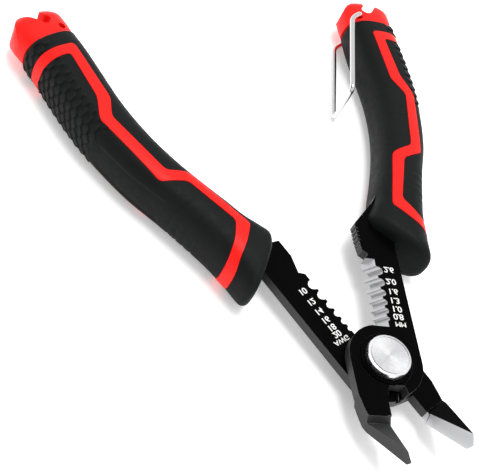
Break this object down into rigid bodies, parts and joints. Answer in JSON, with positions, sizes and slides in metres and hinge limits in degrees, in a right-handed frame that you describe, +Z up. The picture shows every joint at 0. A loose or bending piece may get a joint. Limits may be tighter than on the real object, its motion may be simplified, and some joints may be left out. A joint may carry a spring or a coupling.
{
  "type": "wire stripper",
  "caption": "Plier-type wire stripper with notched bypass blades, bent cutting jaws, spring-opened padded grips and a wire latch.",
  "frame": {"origin": "centre of the bounding box's bottom face, with the tool open and lying flat on its grips", "axes": "+Y from the cutting head to the handle ends, +Z up, away from the surface it lies on"},
  "size_m": [0.1524, 0.1826, 0.019],
  "materials": {
    "blackened_steel": "satin black oxide with bright ground edges",
    "pivot_steel": "radially brushed",
    "spring_wire": "drawn",
    "red_plastic": "semi-gloss",
    "black_rubber": "matt, lightly grained",
    "latch_chrome": "polished"
  },
  "bodies": {
    "front_handle": {"front_lever": "blackened_steel", "pivot_screw": "pivot_steel", "pivot_sleeve": "pivot_steel", "front_washer": "blackened_steel", "rear_washer": "blackened_steel", "pivot_nut": "blackened_steel", "torsion_spring": "spring_wire", "front_spring_pin": "spring_wire", "front_core": "red_plastic", "front_sleeve": "black_rubber", "front_palm_panel": "black_rubber", "front_cap": "red_plastic"},
    "rear_handle": {"rear_lever": "blackened_steel", "rear_spring_pin": "spring_wire", "rear_core": "red_plastic", "rear_sleeve": "black_rubber", "rear_palm_panel": "black_rubber", "rear_cap": "red_plastic"},
    "latch": {"latch_bail": "latch_chrome"}
  },
  "joints": [
    {"name": "handle_pivot", "type": "hinge", "parent": "front_handle", "child": "rear_handle", "pos_m": [-0.00056, -0.05718, 0.0095], "axis": [0, 0, -1], "range_deg": [0, 32.67], "stiffness_Nm_per_rad": 0.6, "springref_deg": -20.05, "deforming": ["torsion_spring"]},
    {"name": "latch_hinge", "type": "hinge", "parent": "front_handle", "child": "latch", "pos_m": [0.06085, 0.08188, 0.0095], "axis": [0, 0, 1], "range_deg": [-150, 8]}
  ]
}
